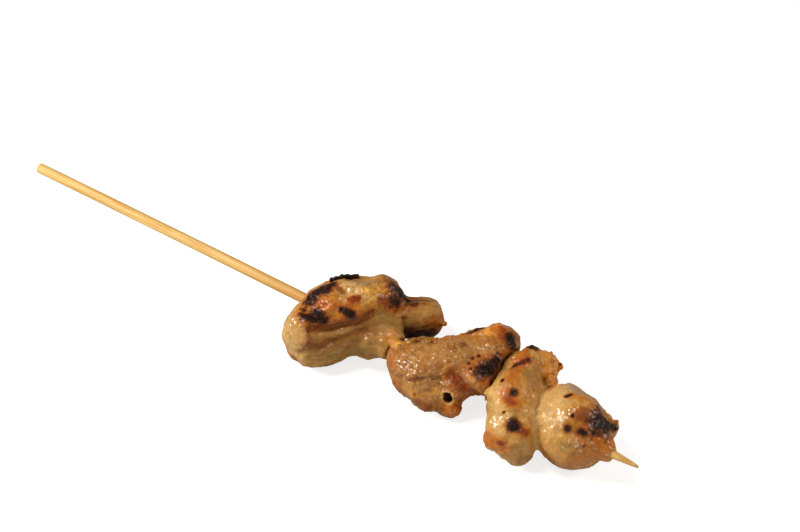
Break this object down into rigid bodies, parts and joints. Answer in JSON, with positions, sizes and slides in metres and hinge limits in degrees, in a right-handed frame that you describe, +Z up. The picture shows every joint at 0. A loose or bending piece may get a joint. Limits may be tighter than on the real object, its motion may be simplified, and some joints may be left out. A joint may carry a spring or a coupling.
{
  "type": "chicken kebab skewer",
  "caption": "Grilled chicken chunks threaded on a pointed round bamboo skewer that lies down, browned and charred in places, with a bare stretch of stick as its handle.",
  "frame": {"origin": "middle of the kebab's box on the surface that it lies on", "axes": "+X along the skewer from its blunt handle end to its point, +Y across it, +Z up"},
  "size_m": [0.18, 0.0336, 0.0193],
  "materials": {
    "bamboo": "bare split bamboo, smooth and pale yellow, with fine lengthwise fibres",
    "chicken": "moist grilled chicken, beige to golden brown with dark char patches"
  },
  "bodies": {
    "root": {"bamboo_skewer": "bamboo", "chicken_handle_end": "chicken", "chicken_middle": "chicken", "chicken_tip_end": "chicken"}
  },
  "joints": []
}
